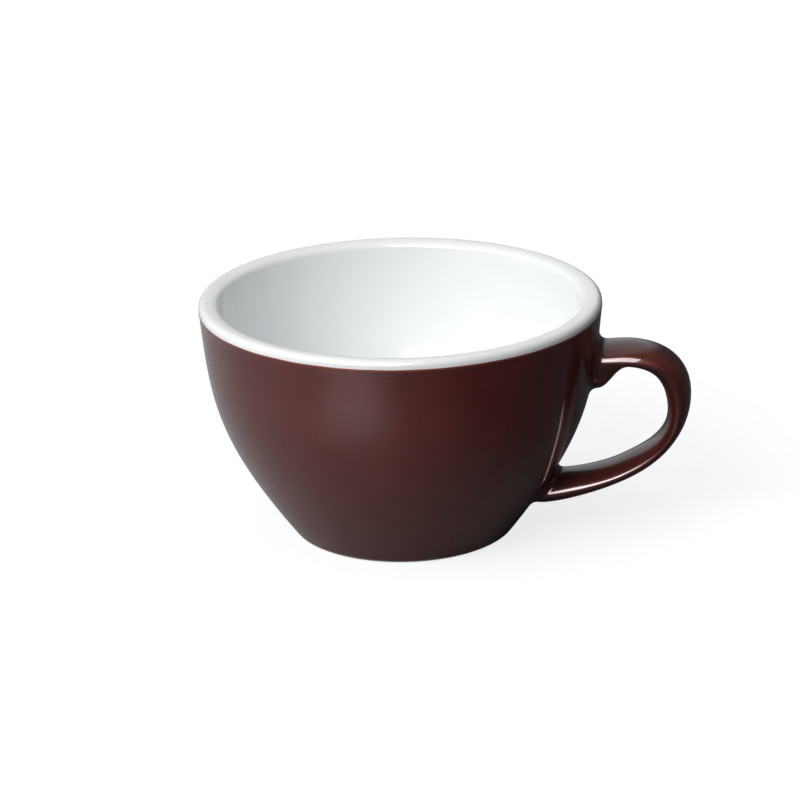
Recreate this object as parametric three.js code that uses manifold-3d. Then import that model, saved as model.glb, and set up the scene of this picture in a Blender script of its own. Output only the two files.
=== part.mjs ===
// Cappuccino cup of glazed porcelain: a cast bowl, a cast loop handle stuck on with clay slip,
// white liner glaze inside and over the rim, brown glaze outside.
// Millimetres, +Z up, origin at the centre of the foot on the table, handle along +X.
import * as THREE from 'three';
import { mergeVertices } from 'three/addons/utils/BufferGeometryUtils.js';
import Module from 'manifold-3d';

const wasm = await Module();
wasm.setup();

const degrees = THREE.MathUtils.DEG2RAD;

// Bowl, measured over the glaze
const cupHeight = 60.4;
const rimRadius = 50;
const rimLean = 5.2 * degrees; // wall's lean from upright where the rim's rounding starts
const rimArm = 22.9; // length of the wall curve's upper control arm
const footRadius = 26.2; // outer edge of the flat ring that stands on the table
const footEdgeRound = 2.5;
const footLean = 36.3 * degrees; // wall's lean from upright where it leaves the foot edge
const footArm = 32.5; // length of the wall curve's lower control arm
const rimOuterRound = 1.6;
const lipFall = 1.5; // depth of the rim's inner slope
const lipCrestArm = 2.3; // control arm of the slope's curve, level at the crest
const lipFootArm = 0.9; // and along the inner wall at its foot
const wallThickness = 5.2;
const floorThickness = 6;
const floorSweep = 9; // height above the floor where the wall starts to turn into it

// Foot ring and the recess under the floor
const footRingWidth = 3.4;
const recessDepth = 2.2;
const recessTaper = 1.3; // how far the recess narrows from the table to its roof

// Glaze and the slip between the clay pieces
const glazeThickness = 0.4;
const pieceGap = 0.1; // left free between neighbouring pieces
const colourLineDrop = 2; // brown starts this far below the rim
const bareFootHeight = 0.6; // clay left bare above the table
const slipThickness = 0.8;
const slipEdge = 0.3; // thickness of the slip at its outer edge
const slipFillet = 0.9;
const rootFillet = 2.6; // glazed fillet between the handle and the wall

// Handle's spine, a line in the plane y = 0 at the height of the handle's widest places
const upperRootDrop = 14.8; // below the rim
const upperRootRise = 3.5 * degrees;
const upperRootArm = 10.7;
const gripReach = 19.4; // from the rim's outside to the spine at the grip
const gripHeight = 34.4; // height of the outermost point
const upperBendArm = 12.2;
const lowerBendArm = 20;
const lowerRootHeight = 10.2;
const lowerRootDip = 10.6 * degrees;
const lowerRootArm = 2.2;

// Handle section, two half ellipses that meet at the spine's height: depth out of the loop and
// into it, and width across it, at stations given as shares of the handle's length
const upperRootOuter = 3.2;
const topOuter = 3.6;
const shoulderOuter = 3;
const slenderOuter = 2;
const lowerBarOuter = 2.1;
const lowerRootOuter = 2.8;
const upperRootInner = 8.3;
const topInner = 2;
const shoulderInner = 3.8;
const slenderInner = 2.1;
const lowerBarInner = 2.8;
const lowerRootInner = 4.1;
const topStation = 0.11;
const shoulderStation = 0.28;
const slenderStation = 0.53;
const lowerBarStation = 0.69;
const upperRootWidth = 15.4;
const barWidth = 14.3;
const lowerRootWidth = 15.6;
const barStart = 0.5;
const barEnd = 0.82;

// Facets
const turnSegments = 48;
const wallSteps = 9;
const arcSteps = 3;
const lipSteps = 5;
const floorSteps = 5;
const sectionSides = 16;
const handleSteps = 44;
const filletSteps = 3;
const bisections = 40;

const glazeDepth = glazeThickness + pieceGap; // from the glazed surface down to the clay
const rootDepth = wallThickness / 2; // the handle's blank ends inside the wall, before it is cut
const cornerStep = 0.1; // stretch of a line over which its direction at a corner is taken

const colours = {
  clay: { color: 0xe9e6df, roughness: 0.75, metalness: 0 },
  slip: { color: 0xdedad0, roughness: 0.85, metalness: 0 },
  white: { color: 0xf3f4f4, roughness: 0.08, metalness: 0 },
  brown: { color: 0x4a2624, roughness: 0.1, metalness: 0 },
};

// Value in low..high where a rising function passes zero
function crossing(rising, low, high) {
  for (let i = 0; i < bisections; i++) {
    const middle = (low + high) / 2;
    if (rising(middle) < 0) low = middle;
    else high = middle;
  }
  return (low + high) / 2;
}

// Point of a lathe profile with the direction that faces out of the clay
function surfacePoint(radius, height, normalAngle) {
  return {
    at: new THREE.Vector2(radius, height),
    out: new THREE.Vector2(Math.cos(normalAngle), Math.sin(normalAngle)),
  };
}

function raised(points, distance) {
  return points.map((point) => point.at.clone().addScaledVector(point.out, distance));
}

function evenly(steps, make) {
  return Array.from({ length: steps + 1 }, (_, i) => make(i / steps));
}

// Outer wall over the glaze: foot edge, one Bezier curve, rim rounding
const footArc = (angle) =>
  surfacePoint(
    footRadius + footEdgeRound * Math.cos(angle),
    footEdgeRound + footEdgeRound * Math.sin(angle),
    angle,
  );
const rimArc = (angle) =>
  surfacePoint(
    rimRadius - rimOuterRound + rimOuterRound * Math.cos(angle),
    cupHeight - rimOuterRound + rimOuterRound * Math.sin(angle),
    angle,
  );
const wallFoot = footArc(-footLean).at;
const wallRim = rimArc(-rimLean).at;
const wallCurve = new THREE.CubicBezierCurve(
  wallFoot,
  new THREE.Vector2(Math.sin(footLean), Math.cos(footLean)).multiplyScalar(footArm).add(wallFoot),
  new THREE.Vector2(-Math.sin(rimLean), -Math.cos(rimLean)).multiplyScalar(rimArm).add(wallRim),
  wallRim,
);

function curvePoint(curve, t) {
  const at = curve.getPoint(t);
  const tangent = curve.getTangent(t);
  return surfacePoint(at.x, at.y, Math.atan2(-tangent.x, tangent.y));
}

const wallPoint = (t) => curvePoint(wallCurve, t);

// Glazed wall's radius and lean at a height, run on straight past the curve's ends
function wallAt(height) {
  const t = crossing((s) => wallCurve.getPoint(s).y - height, 0, 1);
  const { at, out } = wallPoint(t);
  const lean = Math.atan2(-out.y, out.x);
  return { radius: at.x + (height - at.y) * Math.tan(lean), lean };
}

// Outside of the glazed cup by one number: foot edge -1 to 0, wall 0 to 1, rim rounding 1 to 2
function outsidePoint(s) {
  if (s < 0) return footArc(THREE.MathUtils.lerp(-Math.PI / 2, -footLean, s + 1));
  if (s > 1) return rimArc(THREE.MathUtils.lerp(-rimLean, Math.PI / 2, s - 1));
  return wallPoint(s);
}

const outsideAtHeight = (height) => crossing((s) => outsidePoint(s).at.y - height, -1, 2);
const bareLine = outsideAtHeight(bareFootHeight);
const brownFoot = outsideAtHeight(bareFootHeight + pieceGap);
const brownTop = outsideAtHeight(cupHeight - colourLineDrop - pieceGap / 2);
const whiteFoot = outsideAtHeight(cupHeight - colourLineDrop + pieceGap / 2);
const outsideSamples = [
  ...evenly(arcSteps, (s) => s - 1),
  ...evenly(wallSteps, (s) => s).slice(1),
  ...evenly(arcSteps, (s) => s + 1).slice(1),
];

function outsideProfile(from, to) {
  const between = outsideSamples.filter((s) => s > from && s < to);
  return [from, ...between, to].map(outsidePoint);
}

// Inside from the rim's crest: sloped lip, wall offset inwards, then the floor
const crestRadius = rimRadius - rimOuterRound;
const floorHeight = recessDepth + floorThickness;

const innerWallPoint = (t) => {
  const { at, out } = wallPoint(t);
  const inside = at.clone().addScaledVector(out, -wallThickness);
  return surfacePoint(inside.x, inside.y, Math.atan2(-out.y, -out.x));
};
const lipFoot = crossing((t) => innerWallPoint(t).at.y - cupHeight + lipFall, 0, 1);
const sweepStart = crossing((t) => innerWallPoint(t).at.y - floorHeight - floorSweep, 0, 1);

function lipProfile() {
  const foot = innerWallPoint(lipFoot);
  const curve = new THREE.CubicBezierCurve(
    new THREE.Vector2(crestRadius, cupHeight),
    new THREE.Vector2(crestRadius - lipCrestArm, cupHeight),
    new THREE.Vector2(foot.out.y, -foot.out.x).multiplyScalar(lipFootArm).add(foot.at),
    foot.at,
  );
  return evenly(lipSteps, (s) => curvePoint(curve, s)).slice(1);
}

function floorProfile() {
  const start = innerWallPoint(sweepStart);
  const lean = Math.atan2(start.out.y, -start.out.x);
  const corner = start.at.x - floorSweep * Math.tan(lean);
  const curve = new THREE.CubicBezierCurve(
    start.at,
    new THREE.Vector2(corner, floorHeight),
    new THREE.Vector2(corner, floorHeight),
    new THREE.Vector2(0, floorHeight),
  );
  return evenly(floorSteps, (s) => curvePoint(curve, s)).slice(1);
}

const innerWall = evenly(wallSteps, (s) =>
  innerWallPoint(THREE.MathUtils.lerp(lipFoot, sweepStart, s)),
).slice(1);
const insideProfile = [...lipProfile(), ...innerWall, ...floorProfile()];

// Solids of revolution and lofts
function lathe(points) {
  return new THREE.LatheGeometry(points, turnSegments).rotateX(Math.PI / 2);
}

function loft(rings) {
  const sides = rings[0].length;
  const positions = rings.flat().flatMap((point) => point.toArray());
  const triangles = [];
  for (let row = 0; row + 1 < rings.length; row++) {
    for (let side = 0; side < sides; side++) {
      const next = (side + 1) % sides;
      const a = row * sides + side;
      const b = row * sides + next;
      triangles.push(a, b + sides, b, a, a + sides, b + sides);
    }
  }
  const cap = (row, flip) => {
    const centre = new THREE.Vector3();
    rings[row].forEach((point) => centre.addScaledVector(point, 1 / sides));
    const middle = positions.length / 3;
    positions.push(...centre.toArray());
    for (let side = 0; side < sides; side++) {
      const a = row * sides + side;
      const b = row * sides + ((side + 1) % sides);
      triangles.push(middle, flip ? a : b, flip ? b : a);
    }
  };
  cap(0, true);
  cap(rings.length - 1, false);
  const geometry = new THREE.BufferGeometry();
  geometry.setAttribute('position', new THREE.Float32BufferAttribute(positions, 3));
  geometry.setIndex(triangles);
  return geometry;
}

function solid(geometry) {
  geometry.deleteAttribute('normal');
  geometry.deleteAttribute('uv');
  const merged = mergeVertices(geometry);
  const index = merged.index.array;
  const triangles = [];
  for (let i = 0; i < index.length; i += 3) {
    const [a, b, c] = index.slice(i, i + 3);
    if (a !== b && b !== c && c !== a) triangles.push(a, b, c);
  }
  const mesh = new wasm.Mesh({
    numProp: 3,
    vertProperties: new Float32Array(merged.attributes.position.array),
    triVerts: new Uint32Array(triangles),
  });
  return new wasm.Manifold(mesh);
}

function geometryOf(manifold) {
  const mesh = manifold.getMesh();
  const geometry = new THREE.BufferGeometry();
  geometry.setAttribute('position', new THREE.Float32BufferAttribute(mesh.vertProperties, 3));
  geometry.setIndex(new THREE.BufferAttribute(mesh.triVerts, 1));
  geometry.computeVertexNormals();
  return geometry;
}

// Everything inside the wall's surface raised by a distance
function wallBlank(distance) {
  const side = raised(outsideProfile(-1, 2), distance);
  const low = new THREE.Vector2(0, side[0].y);
  const high = new THREE.Vector2(0, side.at(-1).y);
  return solid(lathe([low, ...side, high]));
}

// Handle's spine and section
const upperRootHeight = cupHeight - upperRootDrop;
const upperRoot = new THREE.Vector2(wallAt(upperRootHeight).radius, upperRootHeight);
const lowerRoot = new THREE.Vector2(wallAt(lowerRootHeight).radius, lowerRootHeight);
const gripPoint = new THREE.Vector2(rimRadius + gripReach, gripHeight);
const arm = (from, angle, length) =>
  new THREE.Vector2(Math.cos(angle), Math.sin(angle)).multiplyScalar(length).add(from);
const handlePath = new THREE.CurvePath();
handlePath.add(
  new THREE.CubicBezierCurve(
    upperRoot,
    arm(upperRoot, upperRootRise, upperRootArm),
    arm(gripPoint, Math.PI / 2, upperBendArm),
    gripPoint,
  ),
);
handlePath.add(
  new THREE.CubicBezierCurve(
    gripPoint,
    arm(gripPoint, -Math.PI / 2, lowerBendArm),
    arm(lowerRoot, -lowerRootDip, lowerRootArm),
    lowerRoot,
  ),
);
const handleLength = handlePath.getLength();
const rootSearch = handleLength / 4; // stretch of the handle in which its skin meets the wall

const outerStations = [
  [0, upperRootOuter],
  [topStation, topOuter],
  [shoulderStation, shoulderOuter],
  [slenderStation, slenderOuter],
  [lowerBarStation, lowerBarOuter],
  [1, lowerRootOuter],
];
const innerStations = [
  [0, upperRootInner],
  [topStation, topInner],
  [shoulderStation, shoulderInner],
  [slenderStation, slenderInner],
  [lowerBarStation, lowerBarInner],
  [1, lowerRootInner],
];
const widthStations = [
  [0, upperRootWidth],
  [barStart, barWidth],
  [barEnd, barWidth],
  [1, lowerRootWidth],
];

function sizeAt(stations, share) {
  const next = stations.findIndex(([station]) => station >= share);
  const [high, after] = stations.at(Math.max(next, 1));
  const [low, before] = stations.at(Math.max(next, 1) - 1);
  return THREE.MathUtils.lerp(before, after, THREE.MathUtils.smoothstep(share, low, high));
}

// Section at a distance along the spine, which runs on straight past the roots: the point on the
// skin at an angle round the section and the direction in the section's plane that faces out
function skinPoint(distance, angle, grow) {
  const share = THREE.MathUtils.clamp(distance / handleLength, 0, 1);
  const tangent = handlePath.getTangent(share);
  const middle = handlePath.getPoint(share);
  middle.addScaledVector(tangent, distance - share * handleLength);
  const depth = sizeAt(Math.cos(angle) > 0 ? outerStations : innerStations, share) + grow;
  const width = sizeAt(widthStations, share) / 2 + grow;
  const placed = (out, across) => new THREE.Vector3(-tangent.y * out, across, tangent.x * out);
  return {
    at: placed(depth * Math.cos(angle), width * Math.sin(angle)).add({ x: middle.x, y: 0, z: middle.y }),
    out: placed(Math.cos(angle) / depth, Math.sin(angle) / width).normalize(),
  };
}

function wallNormal(point) {
  const { lean } = wallAt(point.z);
  const flat = Math.hypot(point.x, point.y);
  const spread = Math.cos(lean) / flat;
  return new THREE.Vector3(point.x * spread, point.y * spread, -Math.sin(lean));
}

function heightOverWall(point) {
  const { radius, lean } = wallAt(point.z);
  return (Math.hypot(point.x, point.y) - radius) * Math.cos(lean);
}

// One line of the handle's skin from wall to wall, with a fillet of a given radius at each root
function skinLine(angle, grow, landing, fillet) {
  const root = (end, inward) => {
    const along = (s) => skinPoint(end + inward * s, angle, grow).at;
    const meeting = crossing((s) => heightOverWall(along(s)) - landing, -rootDepth, rootSearch);
    const corner = along(meeting);
    const normal = wallNormal(corner);
    const upWall = skinPoint(end + inward * meeting, angle, grow).out;
    upWall.addScaledVector(normal, -upWall.dot(normal)).normalize();
    const upBar = along(meeting + cornerStep).sub(corner);
    const reach = fillet / Math.tan(upBar.angleTo(upWall) / 2);
    const start = crossing((s) => along(s).distanceTo(corner) - reach, meeting, rootSearch);
    const edge = corner.clone().addScaledVector(upWall, reach);
    edge.addScaledVector(wallNormal(edge), landing - heightOverWall(edge));
    const curve = new THREE.QuadraticBezierCurve3(edge, corner, along(start));
    const buried = edge.clone().addScaledVector(wallNormal(edge), -rootDepth);
    return { points: [buried, ...curve.getPoints(filletSteps)], start: end + inward * start };
  };
  const upper = root(0, 1);
  const lower = root(handleLength, -1);
  const bar = evenly(handleSteps, (s) =>
    skinPoint(THREE.MathUtils.lerp(upper.start, lower.start, s), angle, grow).at,
  );
  return [...upper.points, ...bar.slice(1, -1), ...lower.points.reverse()];
}

function handleBlank(grow, landing, fillet) {
  const lines = Array.from({ length: sectionSides }, (_, i) =>
    skinLine((i / sectionSides) * 2 * Math.PI, grow, landing, fillet),
  );
  return solid(loft(lines[0].map((_, row) => lines.map((line) => line[row]))));
}

// Sub-parts
const clayLevel = -glazeDepth;
const handleClay = handleBlank(clayLevel, clayLevel + slipEdge, slipFillet);

function porcelainBowl() {
  const recessRadius = footRadius - footRingWidth;
  const under = [
    new THREE.Vector2(0, recessDepth + glazeDepth),
    new THREE.Vector2(recessRadius - recessTaper, recessDepth + glazeDepth),
    new THREE.Vector2(recessRadius, 0),
  ];
  const bareFoot = raised(outsideProfile(-1, bareLine), 0);
  const glazed = raised([...outsideProfile(bareLine, 2), ...insideProfile], -glazeDepth);
  return lathe([...under, ...bareFoot, ...glazed]);
}

function porcelainHandle() {
  return geometryOf(handleClay.subtract(wallBlank(clayLevel + slipThickness)));
}

function slipJoints() {
  const layer = wallBlank(clayLevel + slipThickness - pieceGap).subtract(
    wallBlank(clayLevel + pieceGap),
  );
  const pads = handleClay.intersect(layer).decompose();
  return pads.sort((a, b) => b.boundingBox().max[2] - a.boundingBox().max[2]).map(geometryOf);
}

function whiteLinerGlaze() {
  const skin = [...outsideProfile(whiteFoot, 2), ...insideProfile];
  const back = raised(skin, -glazeThickness).reverse();
  return lathe([...back, ...raised(skin, 0)]);
}

function brownBowlGlaze() {
  const skin = outsideProfile(brownFoot, brownTop);
  const outside = raised(skin, 0);
  const back = raised(skin, -glazeThickness).reverse();
  const coat = solid(lathe([...outside, ...back, outside[0].clone()]));
  return geometryOf(coat.subtract(handleBlank(pieceGap, pieceGap, rootFillet)));
}

function brownHandleGlaze() {
  const inside = handleBlank(-glazeThickness, clayLevel + slipEdge + pieceGap, slipFillet);
  const sleeve = handleBlank(0, 0, rootFillet).subtract(inside);
  return geometryOf(sleeve.subtract(wallBlank(clayLevel + pieceGap)));
}

function undersideGlaze() {
  const roof = recessDepth + glazeThickness;
  const sideRun = footRadius - footRingWidth - pieceGap;
  const slope = recessTaper / (recessDepth + glazeDepth);
  return lathe([
    new THREE.Vector2(0, recessDepth),
    new THREE.Vector2(sideRun - slope * recessDepth, recessDepth),
    new THREE.Vector2(sideRun - slope * roof, roof),
    new THREE.Vector2(0, roof),
  ]);
}

function subPart(name, geometry, finish) {
  const mesh = new THREE.Mesh(geometry, new THREE.MeshStandardMaterial(finish));
  mesh.name = name;
  return mesh;
}

const [upperSlip, lowerSlip] = slipJoints();

const cup = new THREE.Group();
cup.name = 'cappuccino_cup';
cup.add(
  subPart('porcelain_bowl', porcelainBowl(), colours.clay),
  subPart('porcelain_handle', porcelainHandle(), colours.clay),
  subPart('upper_slip_joint', upperSlip, colours.slip),
  subPart('lower_slip_joint', lowerSlip, colours.slip),
  subPart('white_liner_glaze', whiteLinerGlaze(), colours.white),
  subPart('brown_bowl_glaze', brownBowlGlaze(), colours.brown),
  subPart('brown_handle_glaze', brownHandleGlaze(), colours.brown),
  subPart('underside_glaze', undersideGlaze(), colours.brown),
);

export default cup;
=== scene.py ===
"""Cappuccino cup of glazed porcelain: smooth coats, materials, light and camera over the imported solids."""
import math

import bmesh
import bpy
import numpy as np
from mathutils import Matrix, Vector, noise

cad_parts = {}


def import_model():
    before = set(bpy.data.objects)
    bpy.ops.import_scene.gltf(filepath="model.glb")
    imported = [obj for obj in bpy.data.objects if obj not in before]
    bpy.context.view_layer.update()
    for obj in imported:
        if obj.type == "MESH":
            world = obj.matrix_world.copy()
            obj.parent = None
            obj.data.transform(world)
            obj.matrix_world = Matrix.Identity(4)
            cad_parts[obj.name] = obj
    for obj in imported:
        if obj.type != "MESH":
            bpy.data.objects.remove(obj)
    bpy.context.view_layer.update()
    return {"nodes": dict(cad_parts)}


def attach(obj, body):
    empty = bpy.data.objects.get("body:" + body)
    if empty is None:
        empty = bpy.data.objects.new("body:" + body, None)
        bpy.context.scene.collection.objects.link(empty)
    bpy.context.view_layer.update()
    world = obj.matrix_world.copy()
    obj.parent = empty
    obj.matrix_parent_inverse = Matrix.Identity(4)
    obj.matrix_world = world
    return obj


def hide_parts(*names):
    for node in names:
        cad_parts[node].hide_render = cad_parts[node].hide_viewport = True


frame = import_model()

MM = 0.001

# Bowl over the glaze, in millimetres, handle along +X
CUP_HEIGHT = 60.4
RIM_RADIUS = 50.0
RIM_LEAN = math.radians(5.2)
RIM_ARM = 22.9
FOOT_RADIUS = 26.2
FOOT_EDGE_ROUND = 2.5
FOOT_LEAN = math.radians(36.3)
FOOT_ARM = 32.5
RIM_OUTER_ROUND = 1.6
LIP_FALL = 1.5
LIP_CREST_ARM = 2.3
LIP_FOOT_ARM = 0.9
WALL_THICKNESS = 5.2
FLOOR_THICKNESS = 6.0
FLOOR_SWEEP = 9.0
FOOT_RING_WIDTH = 3.4
RECESS_DEPTH = 2.2
RECESS_TAPER = 1.3
RING_EDGE_ROUND = 0.5
FLOOR_HEIGHT = RECESS_DEPTH + FLOOR_THICKNESS
RECESS_RADIUS = FOOT_RADIUS - FOOT_RING_WIDTH

# Glaze
GLAZE_THICKNESS = 0.4
GLAZE_DEPTH = 0.5  # from the glazed surface down to the clay
COLOUR_LINE_DROP = 2.0
BARE_FOOT_HEIGHT = 0.6
COAT_OVERLAP = 1.0  # white that runs on under the brown
COAT_STEP = 0.05  # how far the brown stands proud of the white
THIN_EDGE = 0.7  # width of the thin, redder glaze along the line
CREST_THIN = 2.0  # distance from the crest of the rim over which the white runs thin
FOOT_EDGE_THINNESS = 0.5  # of the brown where it rolls off above the bare foot
# The brown's upper edge: distance back from the line, and the share of its step that it stands proud
LINE_EDGE = ((0.9, 1), (THIN_EDGE, 1), (0.45, 1), (0.25, 1), (0.12, 0.85), (0.04, 0.5), (0, 0))
LINE_UNDERCUT = 0.05
LINE_WOBBLE = 0.11  # unevenness of the line between the colours
# A broad and a fine stray of that line: waves in the noise, the noise's level and their share
STRAYS = ((1.6, 3.7, 1.0), (11, 8.1, 0.55))
# Glaze under the floor: how it runs down the side of the recess
CLAY_ROOF = RECESS_DEPTH + GLAZE_DEPTH
RECESS_GAP = 0.05
MENISCUS_DROP = 0.9
MENISCUS_KNEE = 0.5
MENISCUS_REACH = 2.2

# Handle: its spine runs through the widest places of its sections
UPPER_ROOT_DROP = 14.8
UPPER_ROOT_RISE = math.radians(3.5)
UPPER_ROOT_ARM = 10.7
GRIP_REACH = 19.4
GRIP_HEIGHT = 34.4
UPPER_BEND_ARM = 12.2
LOWER_BEND_ARM = 20.0
LOWER_ROOT_HEIGHT = 10.2
LOWER_ROOT_DIP = math.radians(10.6)
LOWER_ROOT_ARM = 2.2
ROOT_FILLET = 2.6
# Depth out of the loop and into it, and width across it, by share of the handle's length
OUTER_DEPTH = {0: 3.2, 0.11: 3.6, 0.28: 3.0, 0.53: 2.0, 0.69: 2.1, 1: 2.8}
INNER_DEPTH = {0: 8.3, 0.11: 2.0, 0.28: 3.8, 0.53: 2.1, 0.69: 2.8, 1: 4.1}
WIDTH = {0: 15.4, 0.5: 14.3, 0.82: 14.3, 1: 15.6}
BEND_THIN_GLAZE_AND_SHEEN = 0.25  # of the glaze where the section bends most between its faces and its sides: partly thin glaze, partly a painted sheen
BEND_SHARPNESS = 3

# Mesh density and searches
TURN_STEPS = 160
ROW_LENGTH = 0.9
ARC_SAMPLES = 60
CURVE_SAMPLES = 400
SPINE_SAMPLES = 1600
ROLL_SAMPLES = 7
RIM_BAND = (2.0, 5.0)  # finer rows this far before and past the crest of the rim
RIM_SAMPLES = 28
LINE_MARGIN = 0.4  # from the line down to the white's first close row
RING_EDGE_SAMPLES = 6
BARE_FOOT_SAMPLES = 8
MENISCUS_SAMPLES = 8
UNDERSIDE_RADII = (0.0, 8.0, 16.0)
SECTION_STEPS = 72
HANDLE_STEPS = 110
FILLET_STEPS = 12
BISECTIONS = 40
ROOT_SEARCH_SHARE = 0.25  # of the handle's length, in which its skin leaves the wall
CORNER_STEP = 0.1  # stretch of a line over which its direction at a corner is taken
LEAN_STEP = 0.05
SAME_POINT = 1e-6
MERGE_DISTANCE = 1e-7  # in metres

# Materials
UNIT = (0, 1)
NOISE_SPAN = (0.3, 0.7)  # values between which most of the noise lies
CLOUD_SPAN = (0.35, 0.65)
GLAZE_DETAIL = 3.0
GLOSS_MM = 4.0
RIPPLE_MM = 6.0
RIPPLE_DETAIL = 1.0
RIPPLE_HEIGHT = 0.02
COAT_ROUGHNESS = 0.06
SHEEN_ROUGHNESS = (0.36, 0.42)
SHEEN_LEVEL = 0.3
WARM_SHEEN = (1.0, 0.42, 0.38, 1)
GRAIN_DETAIL = 6.0
GRAIN_ROUGHNESS = 0.65
GRAIN_HEIGHT = 0.03
SPECK_SCALE = 2.5  # size of a speck in grains
SPECK_DETAIL = 2.0
SPECK_SPAN = (0.68, 0.74)
SPECK_SHARE = 0.5
SPECK_COLOUR = (0.35, 0.29, 0.22, 1)
CLAY_ROUGHNESS = (0.65, 0.9)

# Camera, solved from the photograph
CAMERA_AZIMUTH = math.radians(6)
CAMERA_ELEVATION = math.radians(20.18)
CAMERA_DISTANCE = 819.4
CAMERA_PIVOT_HEIGHT = 28.92
CAMERA_AIM_SIDE = -0.526
CAMERA_AIM_HEIGHT = 32.81
CAMERA_ROLL = math.radians(-1.106)
CAMERA_LENS = 146.93
CAMERA_SENSOR = 36.0

# Studio, in metres
STUDIO_HALF = 4.0
STUDIO_FLOOR = (0.28, 0.28, 0.28, 1)
STUDIO_FLOOR_GLOW = 0.8
WHITE = (1.0, 1.0, 1.0, 1)
SKY_COLOUR = (0.94, 0.97, 1.0, 1)
SKY_BRIGHT_SIDE = Vector((-0.6, 0.62, 0.5)).normalized()  # back left and up, as the camera sees it
SKY_FADE = (0.46, 0.62)  # a direction's share of that side between which the dim side turns bright
SKY_SEEN = (0.05, 0.55)  # brightness of its dim and its bright side as a gloss mirrors them
SKY_LIGHT = (0.13, 0.4)  # and as they light matt surfaces
# Softboxes: azimuth from the camera's side and elevation in degrees, size, and the brightness that each
# gives a white card facing it. One lights the cup but isn't mirrored in it, and one is only mirrored.
LAMP_DISTANCE = 3.6
SOFTBOXES = {
    "front_box": {"azimuth": -34, "elevation": 37, "size": (2.4, 2.0), "level": 0.69},
    "side_box": {"azimuth": -70, "elevation": 36, "size": (3.0, 2.4), "level": 0.2},
    "top_box": {"azimuth": -20, "elevation": 82, "size": (2.4, 2.4), "level": 0.2, "mirrored": False},
    "gleam_box": {"azimuth": -20, "elevation": 44, "size": (2.4, 3.2), "level": 1.9, "lights": False},
}
# Grey card under the cup, out of the camera's sight, that its glaze mirrors: a painted reflection, pale at
# the left, dark at the right as painted shade for the cup's shadow on the floor, with a pale patch in front
# as a painted highlight
CARD_LIFT = 0.0002
CARD_PALE = (0.46, 0.46, 0.46, 1)
CARD_PAINTED_SHADE = (0.07, 0.07, 0.07, 1)
CARD_FADE = (-0.09, 0.09)  # across the set, where it turns from pale to painted shade
CARD_PAINTED_HIGHLIGHT = (-0.05, -0.115)  # to the right and away: middle of a paler patch in front of the cup, a painted highlight that the bowl mirrors as a soft glow
CARD_PAINTED_HIGHLIGHT_COLOUR = (0.95, 0.95, 0.95, 1)
CARD_PAINTED_HIGHLIGHT_FADE = (0.005, 0.055)  # distances from its middle between which it fades out


# Curves
def crossing(rising, low, high):
    """Value in low..high where a rising function passes zero."""
    for _ in range(BISECTIONS):
        middle = (low + high) / 2
        if rising(middle) < 0:
            low = middle
        else:
            high = middle
    return (low + high) / 2


def bezier(controls, samples=CURVE_SAMPLES):
    """Points along a Bezier curve of any degree."""
    t = np.linspace(0, 1, samples)[:, None]
    points = [np.array(c, float) for c in controls]
    while len(points) > 1:
        points = [a + (b - a) * t for a, b in zip(points, points[1:])]
    return points[0]


def arc(centre, radius, start, end, samples=ARC_SAMPLES):
    angles = np.linspace(start, end, samples)
    return np.array(centre) + radius * np.stack([np.cos(angles), np.sin(angles)], 1)


def polar(angle, length):
    return length * np.array([math.cos(angle), math.sin(angle)])


def smoothstep(x, low, high):
    t = np.clip((x - low) / (high - low), 0, 1)
    return t * t * (3 - 2 * t)


class Skin:
    """A plane curve by arc length: its places and the directions that face out, to the right of its way."""

    def __init__(self, points):
        steps = np.linalg.norm(np.diff(points, axis=0), axis=1)
        kept = np.concatenate([[True], steps > SAME_POINT])
        self.points = points[kept]
        steps = np.linalg.norm(np.diff(self.points, axis=0), axis=1)
        self.lengths = np.concatenate([[0], np.cumsum(steps)])
        tangents = np.gradient(self.points, self.lengths, axis=0)
        tangents /= np.linalg.norm(tangents, axis=1)[:, None]
        self.normals = np.stack([tangents[:, 1], -tangents[:, 0]], 1)
        self.total = self.lengths[-1]

    def normal(self, length):
        return np.array([np.interp(length, self.lengths, self.normals[:, i]) for i in (0, 1)])

    def at(self, length, raised=0.0):
        place = np.array([np.interp(length, self.lengths, self.points[:, i]) for i in (0, 1)])
        return place + raised * self.normal(length)

    def length_at_height(self, height, upto):
        """Arc length where the outside rises past a height, searched up to a given length."""
        return crossing(lambda s: self.at(s)[1] - height, 0, upto)


# Bowl: one profile from the foot's edge over the rim to the middle of the floor inside
def outer_wall():
    foot = arc((FOOT_RADIUS, FOOT_EDGE_ROUND), FOOT_EDGE_ROUND, -math.pi / 2, -FOOT_LEAN)
    crest_centre = (RIM_RADIUS - RIM_OUTER_ROUND, CUP_HEIGHT - RIM_OUTER_ROUND)
    rim = arc(crest_centre, RIM_OUTER_ROUND, -RIM_LEAN, math.pi / 2)
    wall = bezier([
        foot[-1],
        foot[-1] + polar(math.pi / 2 - FOOT_LEAN, FOOT_ARM),
        rim[0] - polar(math.pi / 2 - RIM_LEAN, RIM_ARM),
        rim[0],
    ])
    return foot, wall, rim


def inner_wall(wall):
    """The wall's inside from under the lip down to where it starts to turn into the floor."""
    outside = Skin(wall)
    inside = outside.points - WALL_THICKNESS * outside.normals
    over_floor = inside[:, 1] > FLOOR_HEIGHT + FLOOR_SWEEP
    under_lip = inside[:, 1] < CUP_HEIGHT - LIP_FALL
    return inside[over_floor & under_lip][::-1]


def lip(inside):
    """From the crest down to the inner wall: a slope that steepens towards the inside."""
    crest = np.array([RIM_RADIUS - RIM_OUTER_ROUND, CUP_HEIGHT])
    up_wall = (inside[0] - inside[1]) / np.linalg.norm(inside[0] - inside[1])
    return bezier([crest, crest - (LIP_CREST_ARM, 0), inside[0] + LIP_FOOT_ARM * up_wall, inside[0]])


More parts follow.
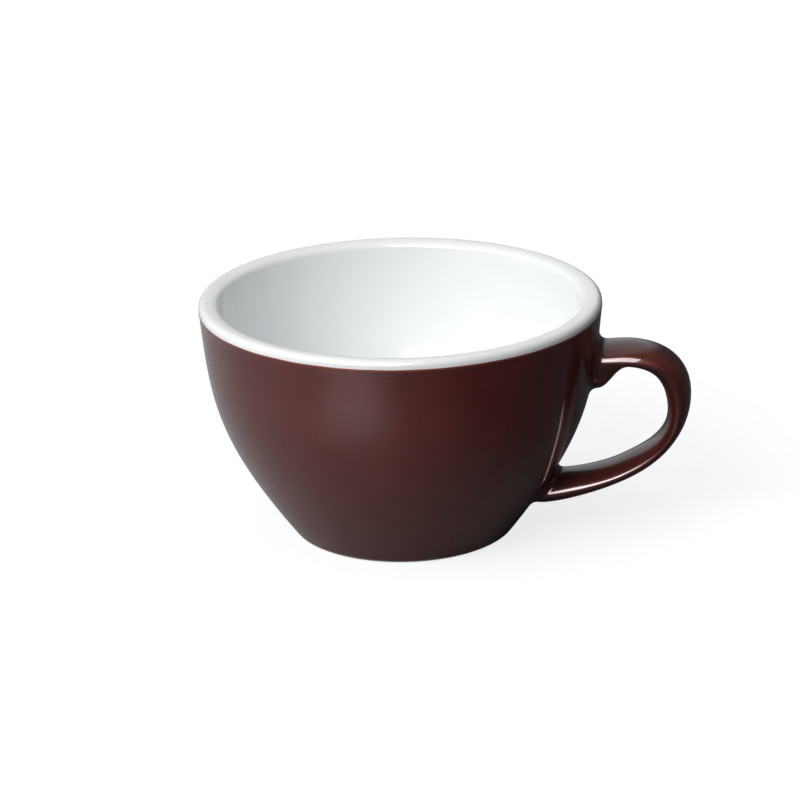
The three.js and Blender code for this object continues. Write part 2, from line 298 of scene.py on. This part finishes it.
def floor_sweep(inside):
    run, rise = inside[-1] - inside[-2]
    corner = (inside[-1][0] + (FLOOR_HEIGHT - inside[-1][1]) * run / rise, FLOOR_HEIGHT)
    return bezier([inside[-1], corner, corner, (0, FLOOR_HEIGHT)])


foot_edge, wall_curve, rim_round = outer_wall()
inner_curve = inner_wall(wall_curve)
skin = Skin(np.concatenate([
    foot_edge,
    wall_curve,
    rim_round,
    lip(inner_curve),
    inner_curve,
    floor_sweep(inner_curve),
]))
CREST_LENGTH = Skin(np.concatenate([foot_edge, wall_curve, rim_round])).total
LINE_LENGTH = skin.length_at_height(CUP_HEIGHT - COLOUR_LINE_DROP, CREST_LENGTH)
BARE_LENGTH = skin.length_at_height(BARE_FOOT_HEIGHT, CREST_LENGTH)
turn_angles = np.linspace(0, 2 * math.pi, TURN_STEPS, endpoint=False)


def line_wobble():
    """How far the colour line strays along the wall, by angle round the cup."""
    def stray(angle):
        return sum(
            share * noise.noise(Vector((waves * math.cos(angle), waves * math.sin(angle), level)))
            for waves, level, share in STRAYS)
    return LINE_WOBBLE * np.array([stray(a) for a in turn_angles])


def row_lengths(start, end):
    count = max(2, round((end - start) / ROW_LENGTH))
    return list(np.linspace(start, end, count + 1))


def make_object(name, data):
    made = bpy.data.objects.new(name, data)
    bpy.context.scene.collection.objects.link(made)
    return made


def revolve(name, rows, closed):
    """Lathe mesh from rows (radius, height, thin); a row's values are numbers or one for each angle."""
    bm = bmesh.new()
    layer = bm.verts.layers.float.new("thin_glaze_and_bend_sheen")
    rings = []
    for radius, height, thin in rows:
        radius = np.broadcast_to(radius, TURN_STEPS)
        height = np.broadcast_to(height, TURN_STEPS)
        ring = []
        for angle, r, z in zip(turn_angles, radius, height):
            vert = bm.verts.new((r * math.cos(angle) * MM, r * math.sin(angle) * MM, z * MM))
            vert[layer] = thin
            ring.append(vert)
        rings.append(ring)
    pairs = list(zip(rings, rings[1:]))
    if closed:
        pairs.append((rings[-1], rings[0]))
    for low, high in pairs:
        for i in range(TURN_STEPS):
            j = (i + 1) % TURN_STEPS
            bm.faces.new((low[i], low[j], high[j], high[i])).smooth = True
    bmesh.ops.remove_doubles(bm, verts=bm.verts, dist=MERGE_DISTANCE)
    bmesh.ops.recalc_face_normals(bm, faces=bm.faces)
    mesh = bpy.data.meshes.new(name)
    bm.to_mesh(mesh)
    bm.free()
    return make_object(name, mesh)


def brown_coat():
    """Brown glaze outside: rolled lower edge, thin wandering upper edge that laps over the white."""
    stray = line_wobble()
    roll = GLAZE_THICKNESS / 2
    lower = BARE_LENGTH + roll
    upper = LINE_LENGTH - COAT_OVERLAP - 2 * COAT_STEP
    rows = []
    for angle in np.linspace(-math.pi / 2, math.pi / 2, ROLL_SAMPLES):
        rows.append((lower - roll * math.cos(angle), -roll + roll * math.sin(angle), FOOT_EDGE_THINNESS))
    rows += [(s, 0.0, 0.0) for s in row_lengths(lower, upper)[1:]]
    for back, raised in LINE_EDGE:
        thin = 1 - smoothstep(back, 0, THIN_EDGE)
        rows.append((LINE_LENGTH - back + stray, raised * COAT_STEP, thin))
    rows.append((LINE_LENGTH - LINE_UNDERCUT + stray, -COAT_STEP, 1.0))
    rows += [(s, -GLAZE_THICKNESS, 0.0) for s in reversed(row_lengths(lower + roll, upper))]
    placed = [(*skin.at(s, raised), thin) for s, raised, thin in rows]
    return revolve("brown_glaze_outside", placed, closed=True)


def white_coat():
    """White glaze from under the brown, over the rim and down to the middle of the floor."""
    start = LINE_LENGTH - COAT_OVERLAP
    rim_start = CREST_LENGTH - RIM_BAND[0]
    rim_end = CREST_LENGTH + RIM_BAND[1]
    front = [start, *row_lengths(LINE_LENGTH - LINE_MARGIN, rim_start)]
    front += list(np.linspace(rim_start, rim_end, RIM_SAMPLES))[1:]
    front += row_lengths(rim_end, skin.total)[1:]
    rows = [(*skin.at(s), float(1 - smoothstep(abs(s - CREST_LENGTH), 0, CREST_THIN))) for s in front]
    back = row_lengths(start, skin.total)[::-1]
    rows += [(*skin.at(s, -GLAZE_THICKNESS), 0.0) for s in back]
    return revolve("white_glaze_inside", rows, closed=True)


def clay_bowl():
    """Bare porcelain: what shows is the foot ring with its softened edges and the side of the recess."""
    slope = math.atan2(RECESS_TAPER, CLAY_ROOF)
    corner_centre = (RECESS_RADIUS + RING_EDGE_ROUND, RING_EDGE_ROUND)
    corner = arc(corner_centre, RING_EDGE_ROUND, math.pi - slope, 3 * math.pi / 2, RING_EDGE_SAMPLES)
    under = [(0.0, CLAY_ROOF, 0.0), (RECESS_RADIUS - RECESS_TAPER, CLAY_ROOF, 0.0)]
    under += [(*p, 0.0) for p in corner]
    bare = [(*skin.at(s), 0.0) for s in np.linspace(0, BARE_LENGTH, BARE_FOOT_SAMPLES)]
    covered = row_lengths(BARE_LENGTH + GLAZE_DEPTH, skin.total)
    body = [(*skin.at(s, -GLAZE_DEPTH), 0.0) for s in covered]
    return revolve("porcelain_bowl_clay", under + bare + body, closed=False)


def underside_coat():
    """Glaze in the recess, running a little down the recess's side at its edge."""
    slope = RECESS_TAPER / CLAY_ROOF
    edge_height = RECESS_DEPTH - MENISCUS_DROP
    edge_radius = RECESS_RADIUS - slope * edge_height - RECESS_GAP
    meniscus = bezier([
        (edge_radius, edge_height),
        (edge_radius - MENISCUS_KNEE, RECESS_DEPTH),
        (edge_radius - MENISCUS_REACH, RECESS_DEPTH),
    ], MENISCUS_SAMPLES)
    thinning = np.linspace(0, 1, MENISCUS_SAMPLES) ** 2
    top = RECESS_DEPTH + GLAZE_THICKNESS
    rows = [(radius, RECESS_DEPTH, 0.0) for radius in UNDERSIDE_RADII]
    rows += [(*p, thin) for p, thin in zip(meniscus[::-1], thinning)]
    rows += [(RECESS_RADIUS - slope * top - RECESS_GAP, top, 0.0), (0.0, top, 0.0)]
    return revolve("glaze_underside", rows, closed=False)


# Handle: spine in the plane y = 0, skin as a loft of half ellipses, fillets where it meets the wall
def wall_radius(height):
    return np.interp(height, wall_curve[:, 1], wall_curve[:, 0])


def wall_lean(height):
    """Angle by which the glazed wall leans out at a height."""
    return math.atan2(wall_radius(height + LEAN_STEP) - wall_radius(height - LEAN_STEP), 2 * LEAN_STEP)


def wall_normal(point):
    lean = wall_lean(point[2])
    spread = math.cos(lean) / math.hypot(point[0], point[1])
    return np.array([point[0] * spread, point[1] * spread, -math.sin(lean)])


def height_over_wall(point):
    x, y, z = point
    return (math.hypot(x, y) - wall_radius(z)) * math.cos(wall_lean(z))


def handle_path():
    """Spine from the upper root over the grip to the lower root, as distance out and height."""
    upper_height = CUP_HEIGHT - UPPER_ROOT_DROP
    upper = np.array([wall_radius(upper_height), upper_height])
    lower = np.array([wall_radius(LOWER_ROOT_HEIGHT), LOWER_ROOT_HEIGHT])
    grip = np.array([RIM_RADIUS + GRIP_REACH, GRIP_HEIGHT])
    bends = [
        [upper, upper + polar(UPPER_ROOT_RISE, UPPER_ROOT_ARM), grip + (0, UPPER_BEND_ARM), grip],
        [grip, grip - (0, LOWER_BEND_ARM), lower + polar(-LOWER_ROOT_DIP, LOWER_ROOT_ARM), lower],
    ]
    return Skin(np.concatenate([bezier(b, SPINE_SAMPLES) for b in bends]))


path = handle_path()


def size_at(sizes, share):
    """A size between its stations, eased from each to the next."""
    stations = sorted(sizes)
    for low, high in zip(stations, stations[1:]):
        if share <= high:
            break
    return sizes[low] + (sizes[high] - sizes[low]) * float(smoothstep(share, low, high))


def skin_point(distance, angle):
    """Point of the skin and the direction in the section's plane that faces out, past the roots too."""
    clamped = min(max(distance, 0), path.total)
    share = clamped / path.total
    normal = path.normal(clamped)
    outward = -normal / np.linalg.norm(normal)
    tangent = np.array([outward[1], -outward[0]])
    middle = path.at(clamped) + tangent * (distance - clamped)
    depth = size_at(OUTER_DEPTH if math.cos(angle) > 0 else INNER_DEPTH, share)
    half_width = size_at(WIDTH, share) / 2
    place = middle + outward * depth * math.cos(angle)
    facing = outward * math.cos(angle) / depth
    return (np.array([place[0], half_width * math.sin(angle), place[1]]),
            np.array([facing[0], math.sin(angle) / half_width, facing[1]]))


def root_line(angle, end, inward):
    """One line of the skin at a root: its points from under the wall over the fillet, and where it ends."""
    def along(s):
        return skin_point(end + inward * s, angle)[0]

    search_end = ROOT_SEARCH_SHARE * path.total
    meeting = crossing(lambda s: height_over_wall(along(s)), -WALL_THICKNESS / 2, search_end)
    corner, up_wall = skin_point(end + inward * meeting, angle)
    normal = wall_normal(corner)
    up_wall -= normal * up_wall.dot(normal)
    up_wall /= np.linalg.norm(up_wall)
    up_bar = along(meeting + CORNER_STEP) - corner
    opening = math.acos(up_bar.dot(up_wall) / np.linalg.norm(up_bar))
    reach = ROOT_FILLET / math.tan(opening / 2)
    start = crossing(lambda s: np.linalg.norm(along(s) - corner) - reach, meeting, search_end)
    edge = corner + up_wall * reach
    edge -= wall_normal(edge) * height_over_wall(edge)
    buried = edge - wall_normal(edge) * GLAZE_THICKNESS
    fillet = bezier([edge, corner, along(start)], FILLET_STEPS + 1)
    return [buried, *fillet], end + inward * start


def handle_lines():
    """Lines of the handle's skin side by side, each from under the wall to under the wall."""
    lines = []
    for angle in np.linspace(0, 2 * math.pi, SECTION_STEPS, endpoint=False):
        upper, upper_start = root_line(angle, 0, 1)
        lower, lower_start = root_line(angle, path.total, -1)
        bar = [skin_point(s, angle)[0] for s in np.linspace(upper_start, lower_start, HANDLE_STEPS + 1)]
        lines.append([*upper, *bar[1:-1], *lower[::-1]])
    return np.array(lines)


def handle_faces(sides, rows):
    """Quads between neighbouring lines, and a face that closes each end."""
    faces = []
    for i in range(sides):
        j = (i + 1) % sides
        for row in range(rows - 1):
            faces.append((i * rows + row, i * rows + row + 1, j * rows + row + 1, j * rows + row))
    faces.append([i * rows for i in range(sides)])
    faces.append([i * rows + rows - 1 for i in reversed(range(sides))])
    return faces


def handle_normals(lines):
    """Directions of the skin; where its edge lies on the wall it takes the wall's direction."""
    sides, rows, _ = lines.shape
    around = np.roll(lines, -1, axis=0) - np.roll(lines, 1, axis=0)
    forward = np.gradient(lines, axis=1)
    forward[:, 1] = lines[:, 2] - lines[:, 1]
    forward[:, -2] = lines[:, -2] - lines[:, -3]
    normals = np.cross(forward, around)
    for side in range(sides):
        for row in (0, 1, rows - 2, rows - 1):
            normals[side, row] = wall_normal(lines[side, row])
    return normals / np.linalg.norm(normals, axis=2)[:, :, None]


def bend_thin_glaze_and_sheen(sides):
    """How thin the glaze runs round the section, thinnest where it bends from a face to a side; the paler,
    redder colour there is partly a painted sheen.
    """
    angles = np.linspace(0, 2 * math.pi, sides, endpoint=False)
    return np.abs(np.sin(2 * angles)) ** BEND_SHARPNESS * BEND_THIN_GLAZE_AND_SHEEN


def handle_coat():
    """Brown glaze over the handle and its two roots."""
    lines = handle_lines()
    sides, rows, _ = lines.shape
    verts = lines.reshape(-1, 3) * MM
    faces = handle_faces(sides, rows)
    mesh = bpy.data.meshes.new("brown_glaze_handle")
    mesh.from_pydata(verts.tolist(), [], faces)
    mesh.polygons.foreach_set("use_smooth", [True] * len(faces))
    mesh.normals_split_custom_set_from_vertices(handle_normals(lines).reshape(-1, 3).tolist())
    thin = mesh.attributes.new("thin_glaze_and_bend_sheen", "FLOAT", "POINT")
    thin.data.foreach_set("value", np.repeat(bend_thin_glaze_and_sheen(sides), rows))
    return make_object("brown_glaze_handle", mesh)


# Nodes
def by_identifier(sockets, identifier):
    """A socket by its identifier, as several sockets of a node can share one name."""
    return next(s for s in sockets if s.identifier == identifier)


def plug(tree, node, inputs):
    """Fill a node's inputs: a socket is linked, any other value is written on the input itself."""
    for identifier, value in inputs.items():
        socket = by_identifier(node.inputs, identifier)
        if isinstance(value, bpy.types.NodeSocket):
            tree.links.new(value, socket)
        else:
            socket.default_value = value


def add_node(tree, kind, output, inputs=None, **settings):
    """Add a node and return the named output of it."""
    node = tree.nodes.new(kind)
    for key, value in settings.items():
        setattr(node, key, value)
    plug(tree, node, inputs or {})
    return by_identifier(node.outputs, output)


def object_place(tree):
    return add_node(tree, "ShaderNodeTexCoord", "Object")


def noise_value(tree, size_mm, detail, roughness=0.5):
    """Noise over the object whose features are about this many millimetres across."""
    return add_node(tree, "ShaderNodeTexNoise", "Fac", {
        "Vector": object_place(tree),
        "Scale": 1 / (size_mm * MM),
        "Detail": detail,
        "Roughness": roughness,
    })


def remapped(tree, value, span, to, interpolation="LINEAR"):
    """A value's way through a span, turned into the way from one limit to another."""
    return add_node(tree, "ShaderNodeMapRange", "Result", {
        "Value": value,
        "From Min": span[0],
        "From Max": span[1],
        "To Min": to[0],
        "To Max": to[1],
    }, interpolation_type=interpolation)


def faded(tree, value, span, to):
    return remapped(tree, value, span, to, "SMOOTHSTEP")


def mixed(tree, share, a, b):
    return add_node(tree, "ShaderNodeMix", "Result_Color", {
        "Factor_Float": share, "A_Color": a, "B_Color": b}, data_type="RGBA")


def bumped(tree, value, height_mm):
    return add_node(tree, "ShaderNodeBump", "Normal", {"Height": value, "Distance": height_mm * MM})


def vector_math(tree, operation, a, b):
    inputs = {"Vector": a, "Vector_001": b}
    return add_node(tree, "ShaderNodeVectorMath", "Value", inputs, operation=operation)


# Materials
def new_material(name):
    material = bpy.data.materials.new(name)
    material.use_nodes = True
    tree = material.node_tree
    return material, tree, tree.nodes["Principled BSDF"]


def glaze(name, deep, light, thin_colour, thin_share, cloud_mm, roughness, ior, sheen=None):
    """Fired glaze: faint clouds in its colour, a paler break where it is thin and a soft ripple.

    With a sheen colour its gloss is a clear coat over a rougher layer that shines in that colour.
    """
    material, tree, shader = new_material(name)
    clouds = remapped(tree, noise_value(tree, cloud_mm, GLAZE_DETAIL), CLOUD_SPAN, UNIT)
    body = mixed(tree, clouds, deep, light)
    # paler where the glaze runs thin; on the handle's bends this is partly a painted sheen
    thin = add_node(tree, "ShaderNodeAttribute", "Fac", attribute_name="thin_glaze_and_bend_sheen")
    thin = remapped(tree, thin, UNIT, (0, thin_share))
    ripple = bumped(tree, noise_value(tree, RIPPLE_MM, RIPPLE_DETAIL), RIPPLE_HEIGHT)
    plug(tree, shader, {
        "Base Color": mixed(tree, thin, body, thin_colour),
        "Roughness": remapped(tree, noise_value(tree, GLOSS_MM, GLAZE_DETAIL), NOISE_SPAN, roughness),
        "Normal": ripple,
        "IOR": ior,
    })
    if sheen:
        plug(tree, shader, {
            "Specular Tint": sheen,
            "Specular IOR Level": SHEEN_LEVEL,
            "Coat Weight": 1.0,
            "Coat IOR": ior,
            "Coat Roughness": COAT_ROUGHNESS,
            "Coat Normal": ripple,
        })
    return material


def clay(name, pale, dark, grain_mm):
    """Bare fired clay: matt, fine grained, with a few darker specks."""
    material, tree, shader = new_material(name)
    grain = noise_value(tree, grain_mm, GRAIN_DETAIL, GRAIN_ROUGHNESS)
    speck_noise = noise_value(tree, SPECK_SCALE * grain_mm, SPECK_DETAIL)
    specks = remapped(tree, speck_noise, SPECK_SPAN, (0, SPECK_SHARE))
    body = mixed(tree, remapped(tree, grain, NOISE_SPAN, UNIT), dark, pale)
    plug(tree, shader, {
        "Base Color": mixed(tree, specks, body, SPECK_COLOUR),
        "Roughness": remapped(tree, grain, NOISE_SPAN, CLAY_ROUGHNESS),
        "Normal": bumped(tree, grain, GRAIN_HEIGHT),
    })
    return material


def dress(made, material, slot, *nodes):
    """Give a piece its material and its body, and hide the solids that it stands for; slot is not used."""
    made.data.materials.append(material)
    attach(made, "root")
    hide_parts(*nodes)


brown = glaze(
    "brown_glaze", deep=(0.074, 0.0085, 0.0082, 1), light=(0.090, 0.0115, 0.0110, 1),
    thin_colour=(0.30, 0.070, 0.035, 1), thin_share=0.75, cloud_mm=14.0,
    roughness=SHEEN_ROUGHNESS, ior=1.6, sheen=WARM_SHEEN)
# darker copy of the brown for the handle: painted shade, so that the handle looks less lit than the bowl
brown_painted_shade = glaze(
    "brown_glaze_painted_shade", deep=(0.042, 0.0072, 0.0070, 1), light=(0.052, 0.0092, 0.0090, 1),
    thin_colour=(0.26, 0.060, 0.032, 1), thin_share=0.75, cloud_mm=14.0,
    roughness=SHEEN_ROUGHNESS, ior=1.6, sheen=WARM_SHEEN)
white = glaze(
    "white_glaze", deep=(0.885, 0.90, 0.905, 1), light=(0.90, 0.91, 0.91, 1),
    thin_colour=(0.90, 0.895, 0.88, 1), thin_share=0.6, cloud_mm=20.0,
    roughness=(0.05, 0.08), ior=1.5)
porcelain = clay("bare_porcelain", pale=(0.80, 0.77, 0.71, 1), dark=(0.70, 0.66, 0.59, 1), grain_mm=0.35)
slip = clay("fired_slip", pale=(0.74, 0.70, 0.63, 1), dark=(0.62, 0.58, 0.50, 1), grain_mm=0.5)

dress(brown_coat(), brown, "brown_glaze", "brown_bowl_glaze")
dress(handle_coat(), brown_painted_shade, "brown_glaze", "brown_handle_glaze")
dress(white_coat(), white, "white_glaze", "white_liner_glaze")
dress(underside_coat(), brown, "brown_glaze", "underside_glaze")
dress(clay_bowl(), porcelain, "porcelain", "porcelain_bowl")

# Solids that stay as they are, under the glaze
kept_solids = {"porcelain_handle": porcelain, "upper_slip_joint": slip, "lower_slip_joint": slip}
for node_name, material in kept_solids.items():
    materials = frame["nodes"][node_name].data.materials
    materials.clear()
    materials.append(material)


# Floor, light and camera
def across_camera(side, back, up):
    """A direction given as the camera sees it, to the right, away and up, turned into the cup's frame."""
    right = Vector((math.cos(CAMERA_AZIMUTH), math.sin(CAMERA_AZIMUTH), 0))
    away = Vector((-math.sin(CAMERA_AZIMUTH), math.cos(CAMERA_AZIMUTH), 0))
    return right * side + away * back + Vector((0, 0, up))


def from_camera_side(azimuth, elevation):
    """Direction from the cup at an azimuth from the camera's side and an elevation."""
    level = math.cos(elevation)
    return across_camera(math.sin(azimuth) * level, -math.cos(azimuth) * level, math.sin(elevation))


def seen_directly(tree):
    """1 for rays that show a surface as it is: from the camera, a gloss or a clear body."""
    seen = add_node(tree, "ShaderNodeLightPath", "Is Camera Ray")
    for kind in ("Is Glossy Ray", "Is Transmission Ray"):
        either = {"Value": seen, "Value_001": add_node(tree, "ShaderNodeLightPath", kind)}
        seen = add_node(tree, "ShaderNodeMath", "Value", either, operation="MAXIMUM")
    return seen


def level_sheet(name, height):
    mesh = bpy.data.meshes.new(name)
    corners = [(-1, -1), (1, -1), (1, 1), (-1, 1)]
    mesh.from_pydata([(STUDIO_HALF * x, STUDIO_HALF * y, height) for x, y in corners], [], [(0, 1, 2, 3)])
    made = make_object(name, mesh)
    return made


def matt_material(name):
    material, tree, shader = new_material(name)
    plug(tree, shader, {"Roughness": 1.0, "Specular IOR Level": 0.0})
    return material, tree, shader


def floor():
    """Pale floor: it glows where it is seen, throws little light back and keeps the cup's shadow."""
    material, tree, shader = matt_material("pale_floor")
    plug(tree, shader, {
        "Base Color": STUDIO_FLOOR,
        "Emission Color": WHITE,
        "Emission Strength": remapped(tree, seen_directly(tree), UNIT, (0, STUDIO_FLOOR_GLOW)),
    })
    level_sheet("floor", 0).data.materials.append(material)


def card():
    """Grey card for the glaze to mirror, a painted reflection: paler at the left, painted shade at the right
    for the cup's shadow on the floor, a pale patch in front as a painted highlight, clear from below.
    """
    material, tree, shader = matt_material("painted_shade_card")
    place = object_place(tree)
    side = vector_math(tree, "DOT_PRODUCT", place, across_camera(1, 0, 0))
    # dark at the right: painted shade that the glaze mirrors and that throws less light back on the cup
    grey = mixed(tree, faded(tree, side, CARD_FADE, UNIT), CARD_PALE, CARD_PAINTED_SHADE)
    from_patch = vector_math(tree, "DISTANCE", place, across_camera(*CARD_PAINTED_HIGHLIGHT, CARD_LIFT))
    # pale patch: painted highlight that the bowl mirrors as a soft glow
    patch = faded(tree, from_patch, CARD_PAINTED_HIGHLIGHT_FADE, (1, 0))
    below = add_node(tree, "ShaderNodeNewGeometry", "Backfacing")
    plug(tree, shader, {
        "Base Color": mixed(tree, patch, grey, CARD_PAINTED_HIGHLIGHT_COLOUR),
        "Alpha": remapped(tree, below, UNIT, (1, 0)),
    })
    made = level_sheet("painted_shade_card", CARD_LIFT)
    made.data.materials.append(material)
    made.visible_camera = False
    made.visible_shadow = False
    made.visible_transmission = False


def world():
    """Sky with a dim and a bright side, which has one strength as it is seen and one as it gives light."""
    made = bpy.data.worlds.new("studio")
    made.use_nodes = True
    tree = made.node_tree
    direction = add_node(tree, "ShaderNodeTexCoord", "Generated")
    share = vector_math(tree, "DOT_PRODUCT", direction, across_camera(*SKY_BRIGHT_SIDE))
    light_and_sight = faded(tree, share, SKY_FADE, SKY_LIGHT), faded(tree, share, SKY_FADE, SKY_SEEN)
    plug(tree, tree.nodes["Background"], {
        "Color": SKY_COLOUR,
        "Strength": remapped(tree, seen_directly(tree), UNIT, light_and_sight),
    })
    bpy.context.scene.world = made


def softbox(name, azimuth, elevation, size, level, lights=True, mirrored=True):
    """Area lamp aimed at the middle of the cup, with the power that gives its level at that distance."""
    lamp = bpy.data.lights.new(name, "AREA")
    lamp.shape = "RECTANGLE"
    lamp.size, lamp.size_y = size
    lamp.energy = level * (math.pi * LAMP_DISTANCE) ** 2
    made = make_object(name, lamp)
    made.visible_diffuse = lights
    made.visible_glossy = mirrored
    direction = from_camera_side(math.radians(azimuth), math.radians(elevation))
    aim = Vector((0, 0, CUP_HEIGHT / 2 * MM))
    turn = direction.to_track_quat("Z", "Y").to_matrix().to_4x4()
    made.matrix_world = Matrix.Translation(aim + direction * LAMP_DISTANCE) @ turn


def camera():
    """Camera at the photograph's viewing angle, rolled a little as the photograph is."""
    data = bpy.data.cameras.new("camera")
    data.lens = CAMERA_LENS
    data.sensor_width = CAMERA_SENSOR
    made = make_object("camera", data)
    place = from_camera_side(0, CAMERA_ELEVATION) * CAMERA_DISTANCE + Vector((0, 0, CAMERA_PIVOT_HEIGHT))
    aim = across_camera(CAMERA_AIM_SIDE, 0, CAMERA_AIM_HEIGHT)
    back = (place - aim).normalized()
    right = Vector((0, 0, 1)).cross(back).normalized()
    level_turn = Matrix((right, back.cross(right), back)).transposed().to_4x4()
    roll = Matrix.Rotation(CAMERA_ROLL, 4, "Z")
    made.matrix_world = Matrix.Translation(place * MM) @ level_turn @ roll
    bpy.context.scene.camera = made


floor()
card()
world()
for box_name, settings in SOFTBOXES.items():
    softbox(box_name, **settings)
camera()
bpy.context.scene.view_settings.view_transform = "Standard"
